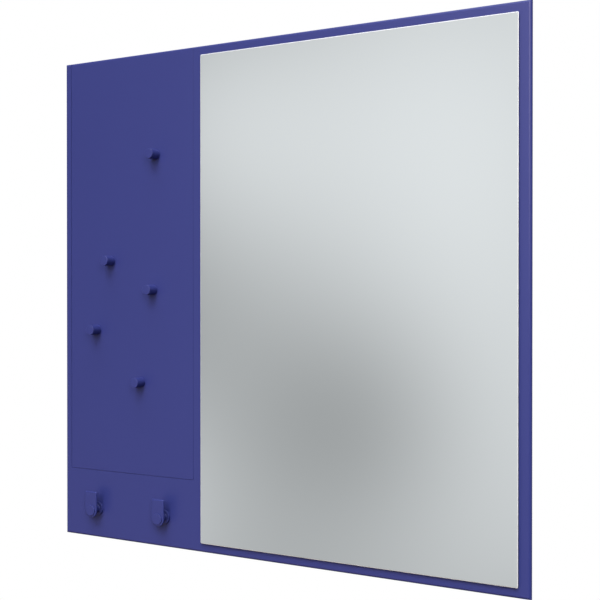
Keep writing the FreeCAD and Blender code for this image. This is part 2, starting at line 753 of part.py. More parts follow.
def make_hanger_screw(doc, label, across):
    """A countersunk screw, its head flush with the plate and its tip in the panel."""
    screw = new_body(doc, label, across, "0", HANGER_CENTRE_Z, turned=True)
    profile = new_sketch(screw, f"{label}_profile", plane="XY_Plane")
    shank = "Sizes.hanger_screw_diameter / 2"
    draw_outline(
        profile,
        [
            (None, None),
            (f"{shank} + {HANGER_SCREW_SINK}", None),
            (shank, HANGER_SCREW_SINK),
            (shank, f"{HANGER_SCREW_LENGTH} - {shank}"),
            (None, HANGER_SCREW_LENGTH),
        ],
    )
    add_revolution(screw, profile)
    return screw


def make_all(doc):
    """Build every piece and return those that are written, one per node."""
    nodes = [make_panel(doc), *make_notice_board(doc), *make_mirror(doc)]
    for count in range(1, MAGNETS + 1):
        nodes += make_magnet(doc, count)
    hook_screws = []
    hanger_screws = []
    for name, side in SIDES.items():
        pieces, screw = make_hook(doc, name, side)
        nodes += pieces
        hook_screws.append(screw)
        plate, screws = make_hanger(doc, name, side)
        nodes.append(plate)
        hanger_screws += screws
    nodes.append(make_group(doc, "hook_screws", hook_screws))
    nodes.append(make_group(doc, "hanger_screws", hanger_screws))
    doc.recompute()
    return nodes


def check(doc, nodes):
    """Stop if any object failed, or if a piece is empty or not valid."""
    for item in doc.Objects:
        if "Invalid" in item.State or "Error" in item.State:
            raise RuntimeError(f"{item.Name} failed: {item.State}")
    for node in nodes:
        if node.Shape.isNull() or not node.Shape.isValid() or not node.Shape.Solids:
            raise RuntimeError(f"{node.Label} is not a valid solid")


def write(nodes):
    """Write one file per node."""
    os.makedirs("parts", exist_ok=True)
    for node in nodes:
        node.Shape.exportStep(f"parts/{node.Label}.step")
        print(f"{node.Label}: {len(node.Shape.Solids)} solid(s), {node.Shape.Volume:.1f} mm3")


document = FreeCAD.newDocument("wall_mirror")
add_sizes(document)
pieces = make_all(document)
check(document, pieces)
write(pieces)
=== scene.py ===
"""Looks of a square wall panel with a mirror, a flush notice board, pull-off magnets and hooks.

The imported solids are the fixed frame: metres, +X to the right, +Z up, the front faces -Y and the
wall is the plane y = 0. Each class below dresses one sub-assembly, and Studio holds light, floor
and camera.
"""

from __future__ import annotations

import logging
import math
from dataclasses import dataclass, field
from enum import Enum, IntEnum
from typing import Callable, Iterable, Sequence

import bmesh
import bpy
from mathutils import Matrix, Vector


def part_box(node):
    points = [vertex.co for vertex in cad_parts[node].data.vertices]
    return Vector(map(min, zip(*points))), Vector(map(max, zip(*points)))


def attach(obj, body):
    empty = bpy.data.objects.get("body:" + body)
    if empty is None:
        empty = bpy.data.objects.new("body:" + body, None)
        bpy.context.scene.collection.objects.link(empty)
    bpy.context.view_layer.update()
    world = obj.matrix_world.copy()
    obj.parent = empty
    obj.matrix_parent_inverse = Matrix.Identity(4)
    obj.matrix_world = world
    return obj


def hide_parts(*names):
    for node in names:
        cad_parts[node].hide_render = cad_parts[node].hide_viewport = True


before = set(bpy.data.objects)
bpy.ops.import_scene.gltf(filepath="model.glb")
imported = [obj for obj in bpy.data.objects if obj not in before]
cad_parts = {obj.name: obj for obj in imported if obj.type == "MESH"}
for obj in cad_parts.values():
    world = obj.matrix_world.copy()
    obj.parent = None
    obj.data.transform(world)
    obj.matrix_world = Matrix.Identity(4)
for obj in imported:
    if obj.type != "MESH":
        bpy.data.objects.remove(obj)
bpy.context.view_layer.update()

PANEL_BODY = "panel"
MAGNET_COUNT = 5
SIDES = ("left", "right")
MM = 0.001
# Angle between two faces from which their edge shows as sharp
SHARP_EDGE = math.radians(25)
# Chords in each round corner of a slab
CORNER_CHORDS = 8
# Least share of a corner's radius that an inset leaves
LEAST_CORNER = 0.1

Pair = tuple[float, float]
Triple = tuple[float, float, float]
Colour = Triple

WHITE: Colour = (1.0, 1.0, 1.0)

log = logging.getLogger("wall_mirror")


class HeadSide(Enum):
    """Which way a screw's head looks, as the turn about X that brings +Z there."""

    FRONT = math.radians(90)
    WALL = math.radians(-90)


class ScrewHead(Enum):
    """Forms of a screw's head."""

    COUNTERSUNK = "countersunk"
    PAN = "pan"


class GlassSkin(IntEnum):
    """What covers a part of the mirror's glass, as its place among the glass's materials."""

    SILVER = 0
    ARRIS = 1
    EDGE = 2
    BACKING = 3


# Small helpers for node trees


def add_node(tree: bpy.types.NodeTree, kind: str, **settings: object) -> bpy.types.Node:
    """Add a node to a tree and set its plain properties.

    Args:
        tree: The node tree that gets the node.
        kind: The node's type name.
        settings: Properties of the node, by name.

    Returns:
        The new node.
    """
    node = tree.nodes.new(kind)
    for name, value in settings.items():
        setattr(node, name, value)
    return node


def feed(tree: bpy.types.NodeTree, socket: bpy.types.NodeSocket, source: object) -> None:
    """Give a socket its value: a link if the source is another socket, else a constant.

    Args:
        tree: The node tree of the socket.
        socket: The input socket.
        source: An output socket, a number or a sequence of numbers.
    """
    if isinstance(source, bpy.types.NodeSocket):
        tree.links.new(source, socket)
    else:
        socket.default_value = source


def math_node(tree: bpy.types.NodeTree, operation: str, *sources: object) -> bpy.types.NodeSocket:
    """Add one Math node.

    Args:
        tree: The node tree.
        operation: The name of the Math operation.
        sources: Sockets or numbers, in the order of the node's inputs.

    Returns:
        The node's output.
    """
    node = add_node(tree, "ShaderNodeMath", operation=operation)
    for socket, source in zip(node.inputs, sources):
        feed(tree, socket, source)
    return node.outputs[0]


def vector_node(tree: bpy.types.NodeTree, operation: str, *sources: object) -> bpy.types.NodeSocket:
    """Add one Vector Math node.

    Args:
        tree: The node tree.
        operation: The name of the Vector Math operation.
        sources: Sockets or vectors, in the order of the node's inputs.

    Returns:
        The node's vector output.
    """
    node = add_node(tree, "ShaderNodeVectorMath", operation=operation)
    for socket, source in zip(node.inputs, sources):
        feed(tree, socket, source)
    return node.outputs["Vector"]


def new_group(
    name: str, kind: str, inputs: Iterable[tuple[str, str]], outputs: Iterable[tuple[str, str]]
) -> tuple[bpy.types.NodeTree, bpy.types.Node, bpy.types.Node]:
    """Start a node group with named sockets.

    Args:
        name: The group's name.
        kind: The tree's type name.
        inputs: Names and socket types of the inputs.
        outputs: Names and socket types of the outputs.

    Returns:
        The tree, its input node and its output node.
    """
    tree = bpy.data.node_groups.new(name, kind)
    for socket_name, socket_type in inputs:
        tree.interface.new_socket(name=socket_name, in_out="INPUT", socket_type=socket_type)
    for socket_name, socket_type in outputs:
        tree.interface.new_socket(name=socket_name, in_out="OUTPUT", socket_type=socket_type)
    return tree, add_node(tree, "NodeGroupInput"), add_node(tree, "NodeGroupOutput")


def place_group(
    tree: bpy.types.NodeTree, group: bpy.types.NodeTree, **values: object
) -> bpy.types.Node:
    """Place a shader group in a tree with its own values.

    Args:
        tree: The tree that uses the group.
        group: The group.
        values: Values or sockets for the inputs; an underscore in a name stands for a space.

    Returns:
        The group node.
    """
    node = add_node(tree, "ShaderNodeGroup", node_tree=group)
    for name, value in values.items():
        feed(tree, node.inputs[name.replace("_", " ")], value)
    return node


def noise_node(
    tree: bpy.types.NodeTree, place: bpy.types.NodeSocket, scale: object, detail: float, roughness: float
) -> bpy.types.NodeSocket:
    """Add one noise texture.

    Args:
        tree: The node tree.
        place: Position at which the noise is read.
        scale: Socket or number that sets its scale.
        detail: How many finer layers it has.
        roughness: How strong the finer layers are.

    Returns:
        The noise, from 0 to 1.
    """
    node = add_node(tree, "ShaderNodeTexNoise")
    for name, value in (("Vector", place), ("Scale", scale), ("Detail", detail), ("Roughness", roughness)):
        feed(tree, node.inputs[name], value)
    return node.outputs["Fac"]


def mottle_group() -> bpy.types.NodeTree:
    """Shader group: a colour that drifts a little over the surface, and the mask of that drift.

    Returns:
        The group.
    """
    tree, given, result = new_group(
        "mottle",
        "ShaderNodeTree",
        [
            ("Position", "NodeSocketVector"),
            ("Light Colour", "NodeSocketColor"),
            ("Dark Colour", "NodeSocketColor"),
            ("Patches per Metre", "NodeSocketFloat"),
        ],
        [("Colour", "NodeSocketColor"), ("Mask", "NodeSocketFloat")],
    )
    place, patches = given.outputs["Position"], given.outputs["Patches per Metre"]
    mask = noise_node(tree, place, patches, detail=4.0, roughness=0.55)
    mix = add_node(tree, "ShaderNodeMix", data_type="RGBA")
    feed(tree, mix.inputs["Factor"], mask)
    feed(tree, mix.inputs["A"], given.outputs["Dark Colour"])
    feed(tree, mix.inputs["B"], given.outputs["Light Colour"])
    feed(tree, result.inputs["Colour"], mix.outputs["Result"])
    feed(tree, result.inputs["Mask"], mask)
    return tree


def grain_group() -> bpy.types.NodeTree:
    """Shader group: a fine height with its own grain along each axis, such as orange peel or brush marks.

    Returns:
        The group.
    """
    tree, given, result = new_group(
        "grain",
        "ShaderNodeTree",
        [("Position", "NodeSocketVector"), ("Grains per Metre", "NodeSocketVector")],
        [("Height", "NodeSocketFloat")],
    )
    stretched = vector_node(tree, "MULTIPLY", given.outputs["Position"], given.outputs["Grains per Metre"])
    height = noise_node(tree, stretched, scale=1.0, detail=2.0, roughness=0.5)
    feed(tree, result.inputs["Height"], height)
    return tree


@dataclass(frozen=True)
class Effects:
    """The shader groups that several finishes share."""

    mottle: bpy.types.NodeTree = field(default_factory=mottle_group)
    grain: bpy.types.NodeTree = field(default_factory=grain_group)


@dataclass(frozen=True)
class Finish:
    """One surface finish: a colour that drifts between two tones, a gloss and a fine relief.

    Attributes:
        name: The material's name.
        colour: The mean colour, linear.
        drift: How far the two tones lie from the mean, as a share of it.
        patches: Patches of the drift per metre.
        roughness: The mean roughness.
        roughness_drift: How far the roughness swings with the drift, or 0 for an even gloss.
        grains: Grains of the relief per metre, along X, Y and Z.
        relief: Depth of the relief in metres, or 0 for a smooth surface.
        metallic: 1 for bare metal, else 0.
        specular: Specular level of the surface.
    """

    name: str
    colour: Colour
    drift: float = 0.03
    patches: float = 9.0
    roughness: float = 0.5
    roughness_drift: float = 0.04
    grains: Triple = (900.0, 900.0, 900.0)
    relief: float = 0.00001
    metallic: float = 0.0
    specular: float = 0.5

    def tone(self, share: float) -> tuple[float, float, float, float]:
        """The mean colour made lighter or darker by a share of itself."""
        return (*(min(1.0, channel * (1 + share)) for channel in self.colour), 1.0)

    def build(self, effects: Effects) -> bpy.types.Material:
        """Build the material.

        Args:
            effects: The shared shader groups.

        Returns:
            The finished material.
        """
        material = bpy.data.materials.new(self.name)
        material.use_nodes = True
        tree = material.node_tree
        surface = tree.nodes["Principled BSDF"]
        surface.inputs["Metallic"].default_value = self.metallic
        surface.inputs["Specular IOR Level"].default_value = self.specular
        place = add_node(tree, "ShaderNodeTexCoord").outputs["Object"]
        mottle = place_group(
            tree,
            effects.mottle,
            Position=place,
            Light_Colour=self.tone(self.drift),
            Dark_Colour=self.tone(-self.drift),
            Patches_per_Metre=self.patches,
        )
        feed(tree, surface.inputs["Base Color"], self.base_colour(tree, place, mottle.outputs["Colour"]))
        surface.inputs["Roughness"].default_value = self.roughness
        if self.roughness_drift:
            gloss = add_node(tree, "ShaderNodeMapRange")
            feed(tree, gloss.inputs["Value"], mottle.outputs["Mask"])
            gloss.inputs["To Min"].default_value = self.roughness - self.roughness_drift
            gloss.inputs["To Max"].default_value = self.roughness + self.roughness_drift
            feed(tree, surface.inputs["Roughness"], gloss.outputs["Result"])
        if self.relief:
            grain = place_group(tree, effects.grain, Position=place, Grains_per_Metre=self.grains)
            bump = add_node(tree, "ShaderNodeBump")
            bump.inputs["Distance"].default_value = self.relief
            feed(tree, bump.inputs["Height"], grain.outputs["Height"])
            feed(tree, surface.inputs["Normal"], bump.outputs["Normal"])
        return material

    def base_colour(
        self, tree: bpy.types.NodeTree, place: bpy.types.NodeSocket, colour: bpy.types.NodeSocket
    ) -> bpy.types.NodeSocket:
        """The colour that reaches the surface; a finish with more than one layer changes it."""
        return colour


@dataclass(frozen=True)
class LacquerOnBoard(Finish):
    """Lacquer on a fibreboard, with the bare board showing in what is routed into its back.

    Attributes:
        bare: Colour of the bare board, linear.
        rim: Width of the outer edge that is lacquered all round, in metres.
        skin: Depth below the back face from which the routed walls are bare, in metres.
        web: Distance from the wall beyond which the front's own recesses begin, in metres.
    """

    bare: Colour = (0.36, 0.24, 0.14)
    rim: float = 12 * MM
    skin: float = 0.15 * MM
    web: float = 10.5 * MM

    def base_colour(
        self, tree: bpy.types.NodeTree, place: bpy.types.NodeSocket, colour: bpy.types.NodeSocket
    ) -> bpy.types.NodeSocket:
        """Mix the bare board in where a wall lies inside the panel.

        Args:
            tree: The material's tree.
            place: Object coordinates.
            colour: The lacquer's colour.

        Returns:
            The mixed colour.
        """
        _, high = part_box("panel")
        axes = add_node(tree, "ShaderNodeSeparateXYZ")
        feed(tree, axes.inputs[0], place)
        across = math_node(tree, "ABSOLUTE", axes.outputs["X"])
        up = math_node(tree, "ABSOLUTE", axes.outputs["Z"])
        inside = math_node(
            tree,
            "MULTIPLY",
            math_node(tree, "LESS_THAN", across, high.x - self.rim),
            math_node(tree, "LESS_THAN", up, high.z - self.rim),
        )
        depth = math_node(
            tree,
            "MULTIPLY",
            math_node(tree, "LESS_THAN", axes.outputs["Y"], -self.skin),
            math_node(tree, "GREATER_THAN", axes.outputs["Y"], -self.web),
        )
        mix = add_node(tree, "ShaderNodeMix", data_type="RGBA")
        feed(tree, mix.inputs["Factor"], math_node(tree, "MULTIPLY", inside, depth))
        feed(tree, mix.inputs["A"], colour)
        mix.inputs["B"].default_value = (*self.bare, 1.0)
        return mix.outputs["Result"]


BLUE: Colour = (0.0335, 0.0440, 0.209)
SATIN = {"roughness": 0.40, "roughness_drift": 0.02, "drift": 0.02, "relief": 0.000004, "specular": 0.32}


class Surface(Enum):
    """Every finish of the object, and of the studio's floor."""

    PANEL = LacquerOnBoard("panel_lacquer_satin", BLUE, **SATIN)
    SHEET = Finish("board_lacquer_satin", BLUE, patches=7.0, **SATIN)
    KNOB = Finish("knob_lacquer_satin", BLUE, patches=60.0, **SATIN)
    HOOK = Finish("hook_lacquer_satin", BLUE, patches=50.0, **SATIN)
    SILVER = Finish(
        "mirror_silver",
        (0.856, 0.900, 0.916),
        drift=0.003,
        patches=3.0,
        roughness=0.0,
        roughness_drift=0.0,
        relief=0.0,
        metallic=1.0,
    )
    GLASS_EDGE = Finish(
        "mirror_glass_edge", (0.014, 0.030, 0.036), drift=0.2, patches=25.0, roughness=0.16
    )
    GLASS_ARRIS = Finish("mirror_ground_arris", (0.74, 0.78, 0.83), patches=60.0, roughness=0.4)
    BACKING = Finish("mirror_backing_paint", (0.30, 0.32, 0.33), patches=14.0, roughness=0.55)
    FILM = Finish(
        "safety_film_matt", (0.55, 0.57, 0.58), patches=20.0, roughness=0.6, grains=(400.0, 10.0, 400.0)
    )
    FOAM = Finish(
        "mounting_tape_foam",
        (0.06, 0.06, 0.065),
        drift=0.2,
        patches=120.0,
        roughness=0.85,
        relief=0.00012,
    )
    GLUE = Finish("adhesive_sheet", (0.78, 0.75, 0.66), patches=30.0, roughness=0.45, relief=0.00003)
    ZINC = Finish(
        "zinc_plated_steel",
        (0.60, 0.60, 0.62),
        drift=0.08,
        patches=90.0,
        roughness=0.34,
        roughness_drift=0.10,
        grains=(260.0, 2600.0, 2600.0),
        relief=0.000012,
        metallic=1.0,
    )
    FLOOR = Finish("studio_floor_pale", (0.82, 0.82, 0.82), drift=0.01, patches=2.0, roughness=0.7)
    NICKEL = Finish(
        "nickel_plated_magnet",
        (0.66, 0.63, 0.58),
        drift=0.05,
        patches=120.0,
        roughness=0.22,
        roughness_drift=0.06,
        relief=0.000004,
        metallic=1.0,
    )


Finishes = dict[Surface, bpy.types.Material]


def build_finishes() -> Finishes:
    """Build the material of every surface, once.

    Returns:
        The materials, by surface.
    """
    effects = Effects()
    return {surface: surface.value.build(effects) for surface in Surface}


# Meshes


def coat(node: str, material: bpy.types.Material) -> None:
    """Give a solid of the frame its finish.

    Args:
        node: The solid's name.
        material: Its finish.
    """
    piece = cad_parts[node]
    piece.data.materials.clear()
    piece.data.materials.append(material)
    log.info("coated %s with %s", node, material.name)


def rounded_rectangle(low: Vector, high: Vector, inset: float, radius: float) -> list[Pair]:
    """Points of an upright rectangle with round corners, counter-clockwise seen from the front.

    Args:
        low: Lowest corner of the piece's box.
        high: Highest corner of the piece's box.
        inset: How far the outline lies inside the box.
        radius: Corner radius of the outline without inset.

    Returns:
        Pairs of x and z.
    """
    corner = max(radius - inset, radius * LEAST_CORNER)
    right, left = high.x - inset - corner, low.x + inset + corner
    top, bottom = high.z - inset - corner, low.z + inset + corner
    middles = ((right, bottom, -90), (right, top, 0), (left, top, 90), (left, bottom, 180))
    points = []
    for x, z, start in middles:
        for chord in range(CORNER_CHORDS + 1):
            angle = math.radians(start + 90 * chord / CORNER_CHORDS)
            points.append((x + corner * math.cos(angle), z + corner * math.sin(angle)))
    return points


def slab_mesh(
    name: str,
    low: Vector,
    high: Vector,
    radius: float,
    rings: Sequence[Pair],
    materials: Sequence[bpy.types.Material],
    skin: Callable[[int, int], int],
) -> bpy.types.Object:
    """A flat upright slab built of rings from its back to its front.

    Args:
        name: Name of the piece.
        low: Lowest corner of the piece's box.
        high: Highest corner of the piece's box.
        radius: Corner radius of the outline.
        rings: Inset and depth below the front face of each ring, from the back to the front.
        materials: The piece's materials.
        skin: Gives the material's place in the list for a band of faces, from its count and the
            count of all bands; the back cap is band -1 and the front cap is the last.

    Returns:
        The new object.
    """
    mesh = bmesh.new()
    loops = []
    for inset, depth in rings:
        outline = rounded_rectangle(low, high, inset, radius)
        loops.append([mesh.verts.new((x, low.y + depth, z)) for x, z in outline])
    last = len(loops) - 1
    back = mesh.faces.new(reversed(loops[0]))
    back.material_index = skin(-1, last)
    for band, (outer, inner) in enumerate(zip(loops, loops[1:])):
        for start in range(len(outer)):
            end = (start + 1) % len(outer)
            face = mesh.faces.new((outer[start], outer[end], inner[end], inner[start]))
            face.material_index = skin(band, last)
    front = mesh.faces.new(loops[-1])
    front.material_index = skin(last, last)
    bmesh.ops.recalc_face_normals(mesh, faces=mesh.faces)
    piece = add_mesh(name, mesh)
    for material in materials:
        piece.data.materials.append(material)
    return piece


def add_object(name: str, data: bpy.types.Mesh) -> bpy.types.Object:
    """Put a finished mesh into the scene, smooth except at its sharp edges.

    Args:
        name: Name of the object.
        data: The finished mesh.

    Returns:
        The new object.
    """
    data.shade_smooth()
    data.set_sharp_from_angle(angle=SHARP_EDGE)
    piece = bpy.data.objects.new(name, data)
    bpy.context.scene.collection.objects.link(piece)
    return piece


def add_mesh(name: str, mesh: bmesh.types.BMesh) -> bpy.types.Object:
    """Turn a working mesh into an object.

    Args:
        name: Name of the object.
        mesh: The working mesh, which is freed.

    Returns:
        The new object.
    """
    data = bpy.data.meshes.new(name)
    mesh.to_mesh(data)
    mesh.free()
    return add_object(name, data)


def add_from_tree(
    name: str, places: Sequence[Vector], tree: bpy.types.NodeTree, sizes: dict[str, object]
) -> bpy.types.Object:
    """Run a geometry tree on some points and keep its result as a plain mesh.

    Args:
        name: Name of the object.
        places: The points.
        tree: The geometry tree.
        sizes: Values of the tree's inputs, by name.

    Returns:
        The new object.
    """
    data = bpy.data.meshes.new(f"{name}_places")
    data.from_pydata(places, [], [])
    points = bpy.data.objects.new(f"{name}_places", data)
    bpy.context.scene.collection.objects.link(points)
    modifier = points.modifiers.new("tree", "NODES")
    modifier.node_group = tree
    for socket in tree.interface.items_tree:
        if socket.in_out == "INPUT" and socket.name in sizes:
            modifier[socket.identifier] = sizes[socket.name]
    graph = bpy.context.evaluated_depsgraph_get()
    mesh = bpy.data.meshes.new_from_object(points.evaluated_get(graph), depsgraph=graph)
    bpy.data.objects.remove(points)
    mesh.name = name
    return add_object(name, mesh)


def mount(piece: bpy.types.Object, body: str, slot: str, *nodes: str) -> None:
    """Fasten a finished piece to the frame.

    Args:
        piece: The piece.
        body: The body that it rides on.
        slot: The record's material slot, which is not used.
        nodes: The solids that it stands for.
    """
    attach(piece, body)
    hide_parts(*nodes)
    log.info("made %s on %s for %s", piece.name, body, ", ".join(nodes))


# Screws


def primitive(tree: bpy.types.NodeTree, kind: str, output: str, **values: object) -> bpy.types.NodeSocket:
    """Add a node that makes or changes geometry.

    Args:
        tree: The node tree.
        kind: The node's type name.
        output: Name of the wanted output.
        values: Values or sockets for the inputs; an underscore in a name stands for a space.

    Returns:
        The wanted output.
    """
    node = add_node(tree, kind)
    for name, value in values.items():
        feed(tree, node.inputs[name.replace("_", " ")], value)
    return node.outputs[output]


def vector(tree: bpy.types.NodeTree, x: object, y: object, z: object) -> bpy.types.NodeSocket:
    """Combine three numbers or sockets into a vector."""
    return primitive(tree, "ShaderNodeCombineXYZ", "Vector", X=x, Y=y, Z=z)


def rotation(tree: bpy.types.NodeTree, x: object, y: object, z: object) -> bpy.types.NodeSocket:
    """Combine three angles into a rotation."""
    return primitive(tree, "FunctionNodeEulerToRotation", "Rotation", Euler=vector(tree, x, y, z))


def lower(
    tree: bpy.types.NodeTree, geometry: bpy.types.NodeSocket, drop: bpy.types.NodeSocket
) -> bpy.types.NodeSocket:
    """Move geometry down its own Z by a distance."""
    down = vector(tree, 0.0, 0.0, math_node(tree, "MULTIPLY", drop, -1.0))
    return primitive(tree, "GeometryNodeTransform", "Geometry", Geometry=geometry, Translation=down)


@dataclass(frozen=True)
class CrossHeadScrew:
    """Proportions of a cross-head screw, and the geometry tree that makes such screws.

    Attributes:
        core: Radius of the core, as a share of the thread's.
        point: Radius of the point's end, as a share of the core's.
        ridge: Radius of the thread's ridge, as a share of the thread's.
        pitch: Rise of the thread in one turn, as a share of its radius.
        threaded: Share of the shank that the thread winds along.
        arm: Length and width of the recess's arms, as shares of the head's radius.
        arm_heights: Heights of what cuts the two arms, half of it in the head, as shares of the head's.
        head_sides: Sides of the head.
        core_sides: Sides of the shank and of the point.
        turn_chords: Chords in one turn of the thread.
        ridge_sides: Sides of the thread's ridge.
    """

    core: float = 0.76
    point: float = 0.12
    ridge: float = 0.16
    pitch: float = 0.75
    threaded: float = 0.9
    arm: Pair = (1.15, 0.30)
    arm_heights: Pair = (1.1, 1.2)
    head_sides: int = 48
    core_sides: int = 24
    turn_chords: int = 20
    ridge_sides: int = 4

    def tree(self) -> bpy.types.NodeTree:
        """Geometry tree: one screw on each given point, with the top of its head at the point.

        Returns:
            The tree.
        """
        tree, given, result = new_group(
            "cross_head_screws",
            "GeometryNodeTree",
            [
                ("Places", "NodeSocketGeometry"),
                ("Length", "NodeSocketFloat"),
                ("Thread Radius", "NodeSocketFloat"),
                ("Head Radius", "NodeSocketFloat"),
                ("Head Foot Radius", "NodeSocketFloat"),
                ("Head Height", "NodeSocketFloat"),
                ("Head Turn", "NodeSocketFloat"),
                ("Seed", "NodeSocketInt"),
                ("Material", "NodeSocketMaterial"),
            ],
            [("Screws", "NodeSocketGeometry")],
        )
        stand = primitive(
            tree,
            "GeometryNodeInstanceOnPoints",
            "Instances",
            Points=given.outputs["Places"],
            Instance=self.screw(tree, given),
            Rotation=rotation(tree, given.outputs["Head Turn"], 0.0, 0.0),
        )
        chance = add_node(tree, "FunctionNodeRandomValue", data_type="FLOAT")
        feed(tree, chance.inputs["Seed"], given.outputs["Seed"])
        quarter_turn = math.radians(90)
        turn = math_node(tree, "MULTIPLY", chance.outputs[1], quarter_turn)
        driven = primitive(
            tree,
            "GeometryNodeRotateInstances",
            "Instances",
            Instances=stand,
            Rotation=rotation(tree, 0.0, 0.0, turn),
        )
        solid = primitive(tree, "GeometryNodeRealizeInstances", "Geometry", Geometry=driven)
        dressed = primitive(
            tree, "GeometryNodeSetMaterial", "Geometry", Geometry=solid, Material=given.outputs["Material"]
        )
        feed(tree, result.inputs["Screws"], dressed)
        return tree

    def screw(self, tree: bpy.types.NodeTree, given: bpy.types.Node) -> bpy.types.NodeSocket:
        """One whole screw, upright.

        Args:
            tree: The screw's tree.
            given: The tree's input node.

        Returns:
            The screw, with the top of its head at z = 0.
        """
        length, height = given.outputs["Length"], given.outputs["Head Height"]
        thread = given.outputs["Thread Radius"]
        core = math_node(tree, "MULTIPLY", thread, self.core)
        run = math_node(tree, "SUBTRACT", math_node(tree, "SUBTRACT", length, height), thread)
        middle = math_node(tree, "ADD", height, math_node(tree, "MULTIPLY", run, 0.5))
        join = add_node(tree, "GeometryNodeJoinGeometry")
        for shape in (
            self.head(tree, given),
            lower(tree, self.tip(tree, core, thread), length),
            lower(tree, self.shank(tree, core, run), middle),
            lower(tree, self.winding(tree, thread, run), math_node(tree, "SUBTRACT", length, thread)),
        ):
            tree.links.new(shape, join.inputs["Geometry"])
        return join.outputs["Geometry"]

    def head(self, tree: bpy.types.NodeTree, given: bpy.types.Node) -> bpy.types.NodeSocket:
        """The head of the screw, cut by its cross recess.

        Args:
            tree: The screw's tree.
            given: The tree's input node.

        Returns:
            The head, with its top at z = 0.
        """
        radius, height = given.outputs["Head Radius"], given.outputs["Head Height"]
        cone = primitive(
            tree,
            "GeometryNodeMeshCone",
            "Mesh",
            Vertices=self.head_sides,
            Radius_Top=radius,
            Radius_Bottom=given.outputs["Head Foot Radius"],
            Depth=height,
        )
        cut = add_node(tree, "GeometryNodeMeshBoolean", operation="DIFFERENCE")
        tree.links.new(lower(tree, cone, height), cut.inputs["Mesh 1"])
        reach, width = (math_node(tree, "MULTIPLY", radius, share) for share in self.arm)
        shallow, deep = (math_node(tree, "MULTIPLY", height, share) for share in self.arm_heights)
        for size in (vector(tree, reach, width, shallow), vector(tree, width, reach, deep)):
            arm = primitive(tree, "GeometryNodeMeshCube", "Mesh", Size=size)
            tree.links.new(arm, cut.inputs["Mesh 2"])
        return cut.outputs["Mesh"]

    def tip(
        self, tree: bpy.types.NodeTree, core: bpy.types.NodeSocket, reach: bpy.types.NodeSocket
    ) -> bpy.types.NodeSocket:
        """The point of the screw.

        Args:
            tree: The screw's tree.
            core: Radius of the core.
            reach: Length of the point.

        Returns:
            The point, with its end at z = 0.
        """
        return primitive(
            tree,
            "GeometryNodeMeshCone",
            "Mesh",
            Vertices=self.core_sides,
            Radius_Top=core,
            Radius_Bottom=math_node(tree, "MULTIPLY", core, self.point),
            Depth=reach,
        )

    def shank(
        self, tree: bpy.types.NodeTree, core: bpy.types.NodeSocket, run: bpy.types.NodeSocket
    ) -> bpy.types.NodeSocket:
        """The core between head and point, with its middle at z = 0."""
        return primitive(
            tree, "GeometryNodeMeshCylinder", "Mesh", Vertices=self.core_sides, Radius=core, Depth=run
        )

    def winding(
        self, tree: bpy.types.NodeTree, thread: bpy.types.NodeSocket, run: bpy.types.NodeSocket
    ) -> bpy.types.NodeSocket:
        """The ridge that winds round the core.

        Args:
            tree: The screw's tree.
            thread: Radius over the ridge.
            run: Length of the shank.

        Returns:
            The ridge, from z = 0 up to near the head.
        """
        ridge = math_node(tree, "MULTIPLY", thread, self.ridge)
        middle = math_node(tree, "SUBTRACT", thread, ridge)
        rise = math_node(tree, "MULTIPLY", run, self.threaded)
        pitch = math_node(tree, "MULTIPLY", thread, self.pitch)
        spiral = primitive(
            tree,
            "GeometryNodeCurveSpiral",
            "Curve",
            Resolution=self.turn_chords,
            Rotations=math_node(tree, "DIVIDE", rise, pitch),
            Start_Radius=middle,
            End_Radius=middle,
            Height=rise,
        )
        profile = primitive(
            tree, "GeometryNodeCurvePrimitiveCircle", "Curve", Resolution=self.ridge_sides, Radius=ridge
        )
        return primitive(
            tree, "GeometryNodeCurveToMesh", "Mesh", Curve=spiral, Profile_Curve=profile, Fill_Caps=True
        )


@dataclass
class Screws:
    """A set of equal cross-head screws.

    Attributes:
        node: The solids that the screws stand for.
        places: Middles of the tops of their heads.
        head: Form of the heads.
        side: Which way the heads look.
        thread: Diameter over the thread.
        head_height: Height of a head.
        seed: Seed of the turn at which each screw came to rest.
    """

    node: str
    places: Sequence[Vector]
    head: ScrewHead
    side: HeadSide
    thread: float
    head_height: float
    seed: int = 4

    def dress(self, finishes: Finishes, tree: bpy.types.NodeTree) -> None:
        """Build the screws.

        Args:
            finishes: The materials, by surface.
            tree: The screws' tree.
        """
        low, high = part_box(self.node)
        head_radius = (high.z - low.z) / 2
        foot = self.thread / 2 if self.head is ScrewHead.COUNTERSUNK else head_radius
        sizes = {
            "Length": high.y - low.y,
            "Thread Radius": self.thread / 2,
            "Head Radius": head_radius,
            "Head Foot Radius": foot,
            "Head Height": self.head_height,
            "Head Turn": self.side.value,
            "Seed": self.seed,
            "Material": finishes[Surface.ZINC],
        }
        screws = add_from_tree(f"{self.node}_cross_head", self.places, tree, sizes)
        mount(screws, PANEL_BODY, "screw_steel", self.node)


# Sub-assemblies


@dataclass
class WallPanel:
    """The lacquered board that carries everything."""

    def dress(self, finishes: Finishes) -> None:
        """Give the panel its lacquer."""
        coat("panel", finishes[Surface.PANEL])


@dataclass
class NoticeBoard:
    """The steel sheet let into the panel and folded over its top edge, and the adhesive below it."""

    def dress(self, finishes: Finishes) -> None:
        """Coat the sheet and its adhesive."""
        coat("notice_board", finishes[Surface.SHEET])
        coat("notice_board_adhesive", finishes[Surface.GLUE])


